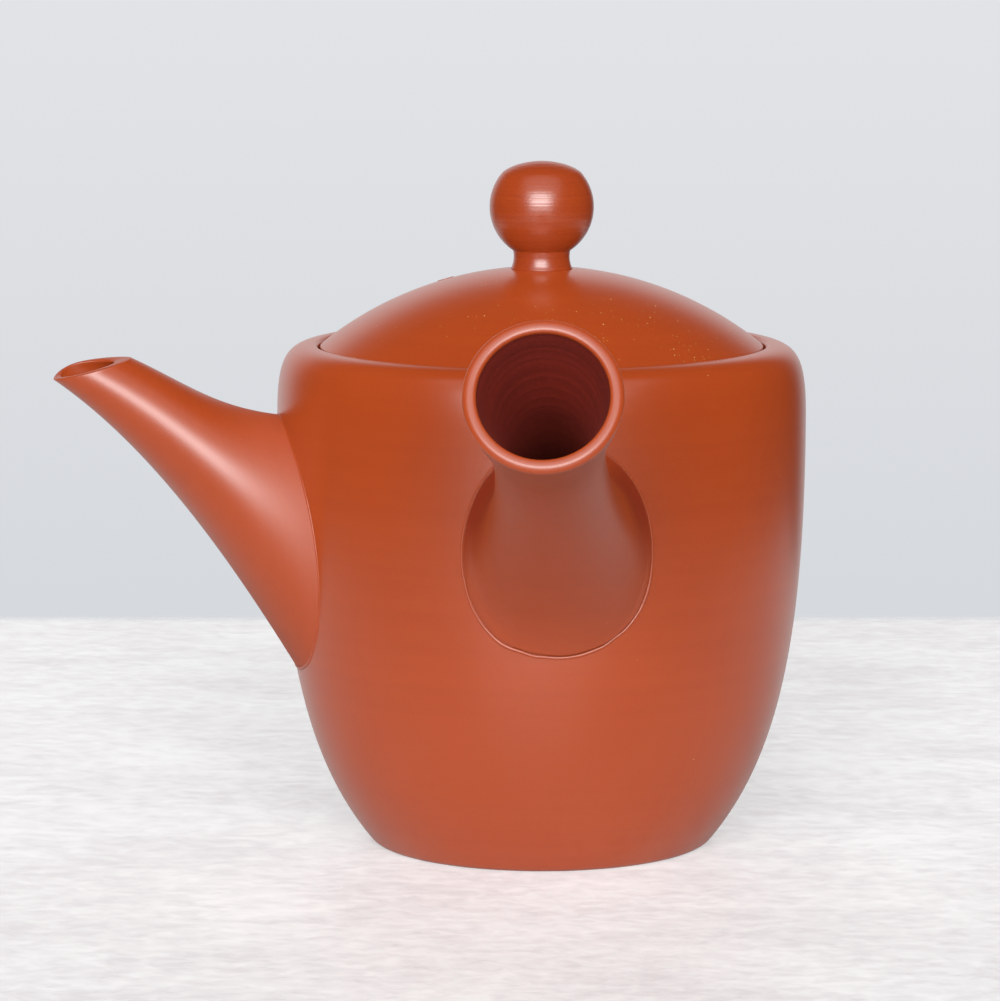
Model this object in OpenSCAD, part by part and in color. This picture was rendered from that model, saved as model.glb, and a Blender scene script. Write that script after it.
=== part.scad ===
// Side-handled teapot of unglazed red clay: a thrown body with a spout and a hollow handle luted to its
// wall, a perforated strainer behind the spout, and a close-fitting domed lid with a ball knob.
// Lengths are in millimetres and angles in degrees. The origin is the centre of the foot on the table,
// +Z is up, and the spout points along -X.

/* [Body] */
// Greatest outside diameter of the body
body_d = 86; // [78:1:100]
// Height of the rim above the table
body_h = 81.8; // [76:0.2:100]
// Height of the shoulder, from the widest level up to the rim
shoulder_h = 11.8; // [8:0.2:16]
// Outside diameter of the base
base_d = 55; // [46:0.2:62]
// Slope of the wall where it leaves the base
base_slope = 49.5; // [42:0.5:62]
// Thickness of the wall
wall = 2.6; // [2:0.1:3.6]
// Thickness of the floor over the hollow of the foot
floor_t = 2.8; // [2:0.1:5]
// Rounding inside, between the floor and the wall
floor_corner = 6; // [3:0.5:9]
// Width of the ring that the pot stands on
foot_w = 5.4; // [3:0.2:10]
// Depth of the hollow inside the foot ring
foot_hollow = 1; // [0.4:0.1:2]
// Rounding at the outer edge of the foot
foot_edge = 0.9; // [0.4:0.1:1.6]

/* [Lid] */
// Outside diameter of the lid
lid_d = 72; // [64:0.5:76]
// Gap all round between the lid and the rim
lid_gap = 0.3; // [0.2:0.05:0.8]
// Depth of the lid's seat below the rim
seat_drop = 2.2; // [1.5:0.1:4]
// Width of the ledge that the lid rests on
seat_w = 4.8; // [3:0.1:7]
// Thickness of the ledge at the mouth
seat_t = 3.3; // [2.5:0.1:5]
// Height of the curve under the shoulder, inside the pot
shoulder_in_h = 7; // [5:0.5:12]
// Rounding of the rim towards the lid
rim_edge = 0.9; // [0.4:0.1:1.4]
// Height of the lid's plain edge above its seat
lid_edge_h = 1.85; // [1:0.05:3]
// Rise of the dome above that edge
lid_rise = 12.7; // [8:0.1:18]
// Thickness of the lid
lid_t = 2.6; // [2:0.1:4]
// Depth of the flange that hangs into the mouth
flange_h = 8; // [5:0.5:12]
// Thickness of the flange
flange_t = 2; // [1.5:0.1:3]
// Diameter of the vent hole
vent_d = 2.4; // [1.5:0.1:4]
// Distance of the vent hole from the lid's centre
vent_out = 16.6; // [12:0.1:22]
// Turn of the vent hole round the lid, away from the spout and the handle
vent_turn = 28; // [0:1:90]

/* [Knob] */
// Diameter of the ball
knob_d = 16.9; // [13:0.1:22]
// Depth by which the top of the ball is flattened
knob_flat = 1.05; // [0.5:0.05:2]
// Height of the neck, from the lid to the ball
knob_neck_h = 3; // [1.5:0.1:5]
// Diameter of the neck
knob_neck_d = 9.3; // [7:0.1:11]
// Spread of the neck at the lid, beyond its own radius
knob_neck_spread = 0.6; // [0.2:0.1:1]

/* [Spout] */
// Reach of the middle of the lip beyond the widest circle of the body
spout_reach = 29.9; // [22:0.1:40]
// Drop of the middle of the lip below the rim
spout_drop = 3; // [0:0.2:8]
// Length of the slanting lip, from its back to its front
lip_l = 13; // [10:0.2:16]
// Width of the lip from side to side
lip_w = 10.6; // [8:0.2:14]
// Slope of the lip, falling outwards
lip_slope = 14.6; // [0:0.1:25]
// Rise of the lip's side towards the handle, above its back and front
lip_near_rise = 0; // [0:0.1:2]
// Rise of the lip's other side
lip_far_rise = 1.6; // [0:0.1:2]
// Height of the rounding on the lip
lip_round = 0.25; // [0.1:0.05:0.75]
// Height of the root's upper end below the rim
root_drop = 11; // [9:0.2:18]
// Height of the root's lower end above the table
root_z = 29.2; // [24:0.2:34]
// Width of the root where it starts to hug the wall
root_w = 32.8; // [28:0.2:38]
// Slope of the spout's back at the lip
back_lip_slope = 26; // [15:1:40]
// Slope of the spout's back at the body
back_root_slope = 8; // [0:1:20]
// Slope of the spout's front at the lip
front_lip_slope = 35.5; // [25:0.5:45]
// Slope of the spout's front at the body
front_root_slope = 59; // [50:1:70]
// Thickness of the spout at the back of the lip
lip_back_t = 1.9; // [1.2:0.1:2.4]
// Thickness of the spout at the front of the lip, which pours
lip_front_t = 1; // [0.8:0.1:2]
// Thickness of the spout at the body
root_t = 2.4; // [2:0.1:3.4]

/* [Strainer] */
// Diameter of the strainer's hole through the wall
strainer_d = 24; // [18:0.5:27]
// Height of the middle of that hole above the table
strainer_z = 48; // [46:0.5:52]
// Thickness of the strainer
strainer_t = 1.4; // [1:0.1:2]
// Diameter of the strainer's holes
pore_d = 1.3; // [0.8:0.1:1.6]
// Distance from one hole to the next
pore_pitch = 2.6; // [2.4:0.1:4]

/* [Handle] */
// Angle round the pot from the spout to the handle's foot
handle_angle = 84.5; // [75:0.1:110]
// Turn of the handle from straight out, towards the spout
handle_skew = 5.6; // [0:0.1:9]
// Rise of the handle above level
handle_rise = 26; // [10:0.5:35]
// Height at which the handle's axis meets the wall
handle_z = 54.2; // [50:0.1:58]
// Length of the handle from the wall to its open end
handle_l = 72; // [60:0.5:90]
// Outside diameter of the open end
handle_end_d = 22.9; // [19:0.1:27]
// Outside diameter of the waist
handle_waist_d = 16.4; // [14:0.1:20]
// Distance of the waist from the open end
waist_back = 28; // [20:0.5:36]
// Width of the foot where it starts to hug the wall
handle_foot_w = 27.8; // [24:0.2:34]
// Height of the foot above the axis
handle_foot_up = 17.4; // [13:0.1:18]
// Depth of the foot below the axis
handle_foot_down = 17.6; // [13:0.1:20]
// Length over which the foot flares out to the wall
handle_flare = 8; // [5:0.5:12]
// Slope of the foot's top where it meets the wall
foot_top_slope = -35; // [-50:1:0]
// Slope of the foot's underside where it meets the wall
foot_low_slope = 62; // [45:1:75]
// Thickness of the handle
handle_t = 2; // [1.6:0.1:2.6]

/* [Joints] */
// Thickness of the slip that joins the luted pieces
slip = 0.1; // [0.05:0.05:0.3]

/* [Hidden] */

$fn = 96;
clay = "#b4502d";
lit_clay = "#bb5933";
dark_clay = "#8e3a22";
past = 1;

// Body: radii and levels
body_r = body_d / 2;
base_r = base_d / 2;
belly_z = body_h - shoulder_h;
ring_r = base_r - foot_edge - foot_w;
floor_z = foot_hollow + floor_t;
lid_r = lid_d / 2;
recess_r = lid_r + lid_gap;
crest_r = recess_r + rim_edge;
mouth_r = recess_r - seat_w;
seat_z = body_h - seat_drop;
neck_z = seat_z - seat_t;

// Shape of the body's curves, as shares of the length that each one spans
base_pull = 0.264;
belly_pull = 0.5;
shoulder_up = 0.71;
shoulder_out = 0.83;
shoulder_in_out = 0.85;
shoulder_in_up = 0.6;
wall_steps = 24;
curve_steps = 10;

wall_curve = [
    [base_r, 0],
    [base_r, 0] + belly_z * base_pull * [cos(base_slope), sin(base_slope)],
    [body_r, belly_z * (1 - belly_pull)],
    [body_r, belly_z]
];
shoulder_curve = [
    [body_r, belly_z],
    [body_r, belly_z + shoulder_up * shoulder_h],
    [crest_r + shoulder_out * (body_r - crest_r), body_h],
    [crest_r, body_h]
];

// Lid: the dome is a cap of one sphere, with a small flat for the knob
edge_z = seat_z + lid_edge_h;
dome_r = (lid_r * lid_r + lid_rise * lid_rise) / (2 * lid_rise);
dome_z = edge_z + lid_rise - dome_r;
flange_r = mouth_r - lid_gap;
knob_foot_r = knob_neck_d / 2 + knob_neck_spread;
knob_z = dome_z + sqrt(dome_r * dome_r - knob_foot_r * knob_foot_r);

// Knob: heights above the lid, and the angles at which the ball meets the neck and its flattened top
ball_r = knob_d / 2;
neck_angle = acos(knob_neck_d / knob_d);
ball_z = knob_neck_h + ball_r * sin(neck_angle);
crown_h = ball_r - knob_flat;
crown_angle = 40;
crown_pull = 0.42;

// Places in a limb's list: a limb is a hollow loft, from a lip to the wall of the body
START = 0; // point on the table plan where the limb's plane starts
HEADING = 1; // direction in which the limb points at the lip
ROOT_TURN = 2; // turn of that direction close to the root
BACK = 3; // curves of its upper line, from the lip to the root
FRONT = 4; // curves of its lower line
HALF = 5; // curves of its half width
THICK = 6; // thickness at the back and the front of the lip, and at the root
LIP = 7; // height of the rounding on the lip
PROUD = 8; // shares of its length by which the two sides of the lip stand proud
RINGS = 9; // number of steps along it
root_turn_power = 6;
limb_sides = 40;
spout_rings = 16;
handle_rings = 26;
lip_steps = 5;

// Spout: its back and front lines lie in the plane through the pot's axis, as [distance out, height]
lip_mid = [body_r + spout_reach, body_h - spout_drop];
lip_half = lip_l / 2 * [cos(lip_slope), -sin(lip_slope)];
root_top = [body_radius(body_h - root_drop), body_h - root_drop];
root_low = [body_radius(root_z), root_z];
back_pull = norm(root_top - lip_mid) / 3;
front_pull = norm(root_low - lip_mid) / 3;
spout_limb = [
    [0, 0],
    180,
    0,
    [[
        lip_mid - lip_half,
        lip_mid - lip_half - back_pull * [cos(back_lip_slope), sin(back_lip_slope)],
        root_top + back_pull * [cos(back_root_slope), sin(back_root_slope)],
        root_top
    ]],
    [[
        lip_mid + lip_half,
        lip_mid + lip_half - front_pull * [cos(front_lip_slope), sin(front_lip_slope)],
        root_low + front_pull * [cos(front_root_slope), sin(front_root_slope)],
        root_low
    ]],
    [[lip_w / 2, lip_w / 3 + root_w / 6, lip_w / 6 + root_w / 3, root_w / 2]],
    [lip_back_t, lip_front_t, root_t],
    lip_round,
    [lip_near_rise, lip_far_rise] / norm(root_low - lip_mid),
    spout_rings
];

// Strainer: a thimble set through the wall, whose round end starts where the hole leaves the wall
strainer_r = strainer_d / 2;
thimble_r = strainer_r - slip;
hole_in_r = body_radius(strainer_z - strainer_r) - wall;
hole_in = sqrt(hole_in_r * hole_in_r - strainer_r * strainer_r);
collar_l = body_r - hole_in;
pore_step = 180 / PI * pore_pitch / thimble_r;
pore_limit = 70;

// Handle: its upper and lower lines lie in the plane of its axis, as [distance from the wall, height]
handle_at = 180 + handle_angle;
handle_to = handle_at - handle_skew;
handle_wall_r = body_radius(handle_z);
waist_r = handle_waist_d / 2;
end_r = handle_end_d / 2;
waist_s = handle_l - waist_back;
foot_top_z = handle_z + handle_foot_up;
foot_low_z = handle_z - handle_foot_down;
foot_top = [body_radius(foot_top_z) - handle_wall_r, foot_top_z];
foot_low = [body_radius(foot_low_z) - handle_wall_r, foot_low_z];
foot_top_pull = handle_flare * [cos(foot_top_slope), sin(foot_top_slope)];
foot_low_pull = handle_flare * [cos(foot_low_slope), sin(foot_low_slope)];
end_hold = 0.3;
waist_hold = 0.45;
tube_hold = 0.43;
end_lean = 0.35;
foot_lean = 0.4;
end_in = handle_l - end_hold * waist_back;
end_in_r = end_r - end_lean * (end_r - waist_r);
foot_r = handle_foot_w / 2;
foot_in_r = foot_r - foot_lean * (foot_r - waist_r);
waist_out = waist_s + waist_hold * waist_back;
tube_in = waist_s - tube_hold * waist_s;
handle_limb = [
    handle_wall_r * [cos(handle_at), sin(handle_at)],
    handle_to,
    handle_skew,
    handle_line(1, foot_top, foot_top_pull),
    handle_line(-1, foot_low, foot_low_pull),
    [[end_r, end_in_r, waist_r, waist_r], [waist_r, waist_r, foot_in_r, foot_r]],
    [handle_t, handle_t, handle_t],
    handle_t / 2,
    [0, 0],
    handle_rings
];

// Line along the handle above its axis or below it, from the open end to the foot
function handle_line(side, foot, foot_pull) = [
    [
        on_axis(handle_l, side * end_r),
        on_axis(end_in, side * end_in_r),
        on_axis(waist_out, side * waist_r),
        on_axis(waist_s, side * waist_r)
    ],
    [
        on_axis(waist_s, side * waist_r),
        on_axis(tube_in, side * waist_r),
        foot + foot_pull,
        foot
    ]
];

// Point in the handle's plane, by its distance along the axis and its distance above it
function on_axis(s, up) = [0, handle_z]
    + s * [cos(handle_rise), sin(handle_rise)] + up * [-sin(handle_rise), cos(handle_rise)];

// Points on a cubic curve, its direction, and a point set off to the left of it. A line is a list of
// such curves, end to end.
function on_curve(c, t) = pow(1 - t, 3) * c[0] + 3 * pow(1 - t, 2) * t * c[1]
    + 3 * (1 - t) * t * t * c[2] + t * t * t * c[3];
function along(c, t) = pow(1 - t, 2) * (c[1] - c[0]) + 2 * (1 - t) * t * (c[2] - c[1])
    + t * t * (c[3] - c[2]);
function left_of(c, t, d) = let (v = along(c, t)) on_curve(c, t) + d * [-v[1], v[0]] / norm(v);
function piece(line, t) = max(0, min(len(line) - 1, floor(t * len(line))));
function on_line(line, t) = let (i = piece(line, t)) on_curve(line[i], t * len(line) - i);
function along_line(line, t) = let (i = piece(line, t)) along(line[i], t * len(line) - i);
function bend(a, corner, b, t) = pow(1 - t, 2) * a + 2 * (1 - t) * t * corner + t * t * b;
function backwards(list) = [for (i = [len(list) - 1 : -1 : 0]) list[i]];
function arc(centre, r, from, to) = [
    for (i = [0 : curve_steps]) let (q = from + (to - from) * i / curve_steps) centre + r * [cos(q), sin(q)]
];

// Outside radius of the body at a height, found by halving along the wall or the shoulder
function share_at(c, z, low = 0, high = 1, turns = 24) = let (mid = (low + high) / 2)
    turns == 0 ? mid
    : on_curve(c, mid)[1] < z ? share_at(c, z, mid, high, turns - 1)
    : share_at(c, z, low, mid, turns - 1);
function body_radius(z) = let (c = z < belly_z ? wall_curve : shoulder_curve) on_curve(c, share_at(c, z))[0];

// Outside line of the body, from the foot to the top of the rim
function outside_line() = let (first = share_at(wall_curve, foot_edge)) concat(
    [
        for (i = [0 : curve_steps - 1])
        bend([base_r - foot_edge, 0], [base_r, 0], on_curve(wall_curve, first), i / curve_steps)
    ],
    [for (i = [0 : wall_steps]) on_curve(wall_curve, first + (1 - first) * i / wall_steps)],
    [for (i = [1 : curve_steps]) on_curve(shoulder_curve, i / curve_steps)]
);

// Inside line of the body, from the mouth down to the middle of the floor
function inside_line() =
    let (
        top = share_at(wall_curve, neck_z - shoulder_in_h),
        meet = left_of(wall_curve, top, wall),
        up = along(wall_curve, top),
        under = [
            [mouth_r, neck_z],
            [mouth_r + shoulder_in_out * (meet[0] - mouth_r), neck_z],
            meet + shoulder_in_up * shoulder_in_h * up / norm(up),
            meet
        ],
        low = share_at(wall_curve, floor_z + floor_corner),
        start = left_of(wall_curve, low, wall),
        way = along(wall_curve, low),
        corner = start - way * (start[1] - floor_z) / way[1]
    )
    concat(
        [for (i = [0 : curve_steps - 1]) on_curve(under, i / curve_steps)],
        [for (i = [0 : wall_steps]) left_of(wall_curve, top + (low - top) * i / wall_steps, wall)],
        [for (i = [1 : curve_steps]) bend(start, corner, corner - [floor_corner, 0], i / curve_steps)],
        [[0, floor_z]]
    );

// Piece of a spherical cap: everything under a sphere of the dome, above a level
module cap(r, level, width) {
    intersection() {
        translate([0, dome_z]) circle(r);
        translate([0, level]) square([width, body_h]);
    }
}

// Solid of the body's outside, set back by the layer of slip
module outside() {
    rotate_extrude()
        polygon(concat([[0, 0]], [for (p = outside_line()) p - [slip, 0]], [[0, body_h]]));
}

// How much longer a wall is when cut along a slanting line than when cut square to its curve
function slant(way, line) = norm(way) * norm(line) / abs(cross(way, line));

// Point of a limb's skin: one of the lines along it, at a share of the way from the lip to the root.
// Past a share of 1 the lines run straight on, each in its own direction, and the sides go on spreading.
// The inner skin is set in by the wall's thickness.
function limb_point(limb, k, t, inner) =
    let (
        share = min(t, 1),
        back = on_line(limb[BACK], share),
        front = on_line(limb[FRONT], share),
        back_way = along_line(limb[BACK], share),
        front_way = along_line(limb[FRONT], share),
        line = (back - front) / norm(back - front),
        back_in = inner * (limb[THICK][0] + (limb[THICK][2] - limb[THICK][0]) * share),
        front_in = inner * (limb[THICK][1] + (limb[THICK][2] - limb[THICK][1]) * share),
        half = on_line(limb[HALF], share),
        tail = half * (t - share),
        top = back + tail * back_way / norm(back_way) - back_in * slant(back_way, line) * line,
        low = front + tail * front_way / norm(front_way) + front_in * slant(front_way, line) * line,
        flare = 2 * along_line(limb[HALF], share) / (norm(back_way) + norm(front_way)),
        turn = 360 * k / limb_sides,
        p = (top + low) / 2 + (top - low) / 2 * cos(turn),
        side = (half + flare * tail - (back_in + front_in) / 2) * sin(turn),
        heading = limb[HEADING] + limb[ROOT_TURN] * pow(share, root_turn_power)
    )
    [
        limb[START][0] + p[0] * cos(heading) - side * sin(heading),
        limb[START][1] + p[0] * sin(heading) + side * cos(heading),
        p[1]
    ];

// Share at which a line of the skin reaches the layer of slip on the body
function root_share(limb, k, inner, low = 0.5, high = 3, turns = 20) =
    let (mid = (low + high) / 2, p = limb_point(limb, k, mid, inner))
    turns == 0 ? mid
    : norm([p[0], p[1]]) > body_radius(p[2]) + slip ? root_share(limb, k, inner, mid, high, turns - 1)
    : root_share(limb, k, inner, low, mid, turns - 1);

// Rings of one skin, from the lip to the root
function limb_skin(limb, inner) =
    let (
        starts = [
            for (k = [0 : limb_sides - 1])
            -limb[PROUD][2 * k < limb_sides ? 0 : 1] * pow(sin(360 * k / limb_sides), 2)
        ],
        ends = [for (k = [0 : limb_sides - 1]) root_share(limb, k, inner)]
    )
    [
        for (i = [0 : limb[RINGS]])
        [
            for (k = [0 : limb_sides - 1])
            limb_point(limb, k, starts[k] + (ends[k] - starts[k]) * i / limb[RINGS], inner)
        ]
    ];

// Rings that round the lip over from the inner skin to the outer one
function lip_rings(limb, outer, inner) =
    let (
        line = on_line(limb[BACK], 0) - on_line(limb[FRONT], 0),
        flat = limb[LIP] * [line[1], -line[0]] / norm(line),
        out = [flat[0] * cos(limb[HEADING]), flat[0] * sin(limb[HEADING]), flat[1]]
    )
    [
        for (j = [1 : lip_steps - 1])
        let (q = 180 * j / lip_steps)
        (outer + inner) / 2 - (outer - inner) / 2 * cos(q) + [for (p = outer) out * sin(q)]
    ];

// Closed solid through the rings of both skins
module limb_solid(limb) {
    outer = limb_skin(limb, 0);
    inner = limb_skin(limb, 1);
    rings = concat(outer, backwards(inner), lip_rings(limb, outer[0], inner[0]));
    polyhedron(
        [for (ring = rings) each ring],
        [
            for (i = [0 : len(rings) - 1], k = [0 : limb_sides - 1])
            let (
                here = i * limb_sides,
                there = (i + 1) % len(rings) * limb_sides,
                next = (k + 1) % limb_sides
            )
            each [[here + k, there + next, here + next], [here + k, there + k, there + next]]
        ]
    );
}

// Half section of the strainer's thimble: a short tube with a round end
module thimble_half(r) {
    square([r, collar_l]);
    translate([0, collar_l])
        intersection() {
            circle(r);
            square(r);
        }
}

// Drills for the strainer, standing out from the middle of its round end, ring after ring
module pores() {
    for (tilt = [0 : pore_step : pore_limit]) {
        count = max(1, floor(360 * sin(tilt) / pore_step));
        for (k = [0 : count - 1])
            rotate([0, tilt, 360 * k / count])
                translate([0, 0, thimble_r - strainer_t - past])
                    cylinder(d = pore_d, h = strainer_t + 2 * past);
    }
}

module body() {
    color(clay)
        difference() {
            rotate_extrude()
                polygon(concat(
                    [[0, foot_hollow], [ring_r - foot_hollow, foot_hollow], [ring_r, 0]],
                    outside_line(),
                    arc([crest_r, body_h - rim_edge], rim_edge, 90, 180),
                    [[recess_r, seat_z], [mouth_r, seat_z]],
                    inside_line()
                ));
            translate([-body_r - past, 0, strainer_z])
                rotate([0, 90, 0])
                    cylinder(r = strainer_r, h = body_r + past - hole_in);
        }
}

module spout() {
    color(lit_clay) limb_solid(spout_limb);
}

module strainer() {
    color(dark_clay)
        intersection() {
            outside();
            translate([-body_r, 0, strainer_z])
                rotate([0, 90, 0])
                    difference() {
                        rotate_extrude()
                            difference() {
                                thimble_half(thimble_r);
                                thimble_half(thimble_r - strainer_t);
                            }
                        translate([0, 0, collar_l]) pores();
                    }
        }
}

module handle() {
    color(lit_clay) limb_solid(handle_limb);
}

module lid() {
    color(clay)
        difference() {
            rotate_extrude()
                difference() {
                    union() {
                        translate([0, seat_z]) square([lid_r, lid_edge_h]);
                        intersection() {
                            cap(dome_r, edge_z, lid_r);
                            square([lid_r, knob_z]);
                        }
                        translate([0, seat_z - flange_h]) square([flange_r, flange_h]);
                    }
                    cap(dome_r - lid_t, seat_z, flange_r - flange_t);
                    translate([0, seat_z - flange_h - past]) square([flange_r - flange_t, flange_h + past]);
                }
            translate([0, 0, dome_z])
                rotate([0, asin(vent_out / dome_r), 180 - vent_turn])
                    translate([0, 0, dome_r - 2 * lid_t])
                        cylinder(d = vent_d, h = 3 * lid_t);
        }
}

module knob() {
    brow = ball_r * [cos(crown_angle), sin(crown_angle)];
    pull = crown_pull * (crown_h - brow[1]) / cos(crown_angle);
    crown = [
        brow,
        brow + pull * [-sin(crown_angle), cos(crown_angle)],
        [brow[0] / 2, crown_h],
        [0, crown_h]
    ];
    color(clay)
        translate([0, 0, knob_z])
            rotate_extrude()
                polygon(concat(
                    [[0, 0]],
                    [
                        for (i = [0 : curve_steps - 1])
                        bend([knob_foot_r, 0], [knob_neck_d / 2 - knob_neck_spread, knob_neck_h / 2],
                            [knob_neck_d / 2, knob_neck_h], i / curve_steps)
                    ],
                    arc([0, ball_z], ball_r, -neck_angle, crown_angle),
                    [for (i = [1 : curve_steps]) on_curve(crown, i / curve_steps) + [0, ball_z]]
                ));
}

body();
spout();
strainer();
handle();
lid();
knob();
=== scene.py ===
"""Side-handled teapot of unglazed red clay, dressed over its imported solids.

Lengths are metres in the part's own frame: the origin is the centre of the foot on the table, +Z is up, the
spout points along -X and the handle towards -Y.
"""

import math

import bmesh
import bpy
import numpy as np
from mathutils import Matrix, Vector


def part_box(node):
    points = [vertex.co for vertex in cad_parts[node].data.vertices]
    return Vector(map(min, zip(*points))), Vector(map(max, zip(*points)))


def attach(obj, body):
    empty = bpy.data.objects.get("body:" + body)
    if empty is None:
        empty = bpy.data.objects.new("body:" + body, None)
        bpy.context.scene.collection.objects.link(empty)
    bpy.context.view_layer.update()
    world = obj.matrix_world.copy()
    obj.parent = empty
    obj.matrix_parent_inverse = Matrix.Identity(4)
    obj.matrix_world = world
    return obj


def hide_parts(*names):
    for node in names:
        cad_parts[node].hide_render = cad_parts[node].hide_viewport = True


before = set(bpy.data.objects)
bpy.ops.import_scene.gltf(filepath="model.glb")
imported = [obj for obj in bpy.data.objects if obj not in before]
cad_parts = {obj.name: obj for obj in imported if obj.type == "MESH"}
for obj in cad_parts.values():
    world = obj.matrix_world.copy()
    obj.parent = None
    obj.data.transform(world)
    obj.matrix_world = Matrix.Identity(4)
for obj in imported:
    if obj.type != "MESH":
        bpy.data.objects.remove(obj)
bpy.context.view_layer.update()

MM = 0.001
TURN = 2 * math.pi
TOUCH = 1e-7
WELD = 1e-6
SHARP = math.radians(40)

# Sizes that the frame gives
BODY_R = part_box("body")[1].y
BODY_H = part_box("body")[1].z
LID_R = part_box("lid")[1].x
FLANGE_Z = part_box("lid")[0].z
KNOB_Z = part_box("knob")[0].z
BALL_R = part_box("knob")[1].x

# Body: the same sizes and curve shares as the solid has
BELLY_Z = BODY_H - 11.8 * MM
BASE_R = 27.5 * MM
BASE_SLOPE = math.radians(49.5)
BASE_PULL = 0.264
BELLY_PULL = 0.5
SHOULDER_UP = 0.71
SHOULDER_OUT = 0.83
WALL = 2.6 * MM
FOOT_HOLLOW = 1 * MM
FOOT_W = 5.4 * MM
FOOT_EDGE = 0.9 * MM
FLOOR_Z = 3.8 * MM
FLOOR_CORNER = 6 * MM
LID_GAP = 0.3 * MM
RIM_EDGE = 0.9 * MM
SEAT_DROP = 2.2 * MM
SEAT_W = 4.8 * MM
SEAT_T = 3.3 * MM
UNDER_H = 7 * MM
UNDER_OUT = 0.85
UNDER_UP = 0.6
RING_R = BASE_R - FOOT_EDGE - FOOT_W
RECESS_R = LID_R + LID_GAP
CREST_R = RECESS_R + RIM_EDGE
MOUTH_R = RECESS_R - SEAT_W
SEAT_Z = BODY_H - SEAT_DROP
NECK_Z = SEAT_Z - SEAT_T

# Lid and knob
LID_EDGE_H = 1.85 * MM
EDGE_Z = SEAT_Z + LID_EDGE_H
LID_RISE = 12.7 * MM
LID_T = 2.6 * MM
FLANGE_T = 2 * MM
FLANGE_R = MOUTH_R - LID_GAP
DOME_R = (LID_R ** 2 + LID_RISE ** 2) / (2 * LID_RISE)
DOME_Z = EDGE_Z + LID_RISE - DOME_R
VENT_D = 2.4 * MM
VENT_OUT = 16.6 * MM
VENT_AT = math.radians(152)
BURR_R = 0.08 * MM
NECK_R = 4.65 * MM
NECK_H = 3 * MM
NECK_SPREAD = 0.35 * MM
KNOB_FLAT = 1.05 * MM
CROWN_ANGLE = math.radians(40)
CROWN_PULL = 0.42

# Strainer
STRAINER_R = 12 * MM
STRAINER_Z = 48 * MM
STRAINER_T = 1.4 * MM
SLIP = 0.1 * MM
PORE_D = 1.3 * MM
PORE_PITCH = 2.6 * MM
PORE_LIMIT = math.radians(70)

# Spout: its lines leave the lip and reach the root at the given slopes, in degrees
SPOUT_REACH = 29.9 * MM
SPOUT_DROP = 3 * MM
SPOUT_T = 2.4 * MM
SPOUT_ROOT_W = 32.8 * MM
SPOUT_TOP_Z = BODY_H - 11 * MM
SPOUT_LOW_Z = 29.2 * MM
BACK_SLOPES = (26, 8)
FRONT_SLOPES = (35.5, 59)
LIP_L = 13 * MM
LIP_W = 10.6 * MM
LIP_SLOPE = math.radians(14.6)
LIP_BACK_T = 1.9 * MM
LIP_FRONT_T = 1 * MM
LIP_RISE = 0.22 * MM
LIP_PROUD = 1.6 * MM

# Handle: a straight axis up from the wall, a waist, and the pulls of its curves as shares of their stretches
HANDLE_L = 72 * MM
HANDLE_T = 2 * MM
HANDLE_Z = 54.2 * MM
HANDLE_RISE = math.radians(26)
HANDLE_HEADING = math.radians(258.9)
HANDLE_FOOT_AT = math.radians(264.5)
HANDLE_LIP_RISE = 0.9 * MM
END_R = 11.45 * MM
END_PULL = 0.3
END_TAPER = 0.35
WAIST_R = 8.2 * MM
WAIST_BACK = 28 * MM
WAIST_PULLS = (0.45, 0.43)
SPREAD_HALF = 13.9 * MM
SPREAD_UP = 17.4 * MM
SPREAD_DOWN = 17.6 * MM
SPREAD_FLARE = 8 * MM
SPREAD_TAPER = 0.4
SPREAD_SLOPES = (-35, 62)

# Viewpoint of the photograph, fitted to the outline of the pot in its frame of 1000 by 1001 pixels
CAMERA_AT = (-0.1225, -0.7737, 0.1667)
CAMERA_TURN = (1.4303, 0, -0.1484)
CAMERA_LENS = 174.24

scene = bpy.context.scene


# Curves in a plane

def on_curve(c, t):
    """Points on a cubic curve at shares t of its way."""
    c = np.asarray(c, float)
    t = np.asarray(t, float)[..., None]
    return (1 - t) ** 3 * c[0] + 3 * (1 - t) ** 2 * t * c[1] + 3 * (1 - t) * t ** 2 * c[2] + t ** 3 * c[3]


def along(c, t):
    """Direction of a cubic curve at shares t of its way."""
    c = np.asarray(c, float)
    t = np.asarray(t, float)[..., None]
    return (1 - t) ** 2 * (c[1] - c[0]) + 2 * (1 - t) * t * (c[2] - c[1]) + t ** 2 * (c[3] - c[2])


def unit(v):
    return v / np.linalg.norm(v, axis=-1, keepdims=True)


def turns(count):
    """Angles evenly round a circle."""
    return np.linspace(0, TURN, count, endpoint=False)


def spokes(way, count):
    """Unit directions square to a way, evenly round it."""
    side = unit(np.cross(way, (0.0, 0.3, 1.0)))
    turn = turns(count)[:, None]
    return np.cos(turn) * side + np.sin(turn) * np.cross(way, side)


def left_of(c, t, distance):
    """Points set off to the left of a cubic curve."""
    v = unit(along(c, t))
    return on_curve(c, t) + distance * np.stack([-v[..., 1], v[..., 0]], -1)


def bend(a, corner, b, steps):
    """Quadratic bend from a to b, round a corner."""
    t = np.linspace(0, 1, steps)[:, None]
    return (1 - t) ** 2 * np.asarray(a) + 2 * (1 - t) * t * np.asarray(corner) + t ** 2 * np.asarray(b)


def arc(centre, radius, first, last, steps):
    """Arc about a centre, between two angles in radians."""
    q = np.linspace(first, last, steps)
    return np.asarray(centre) + radius * np.stack([np.cos(q), np.sin(q)], -1)


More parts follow.
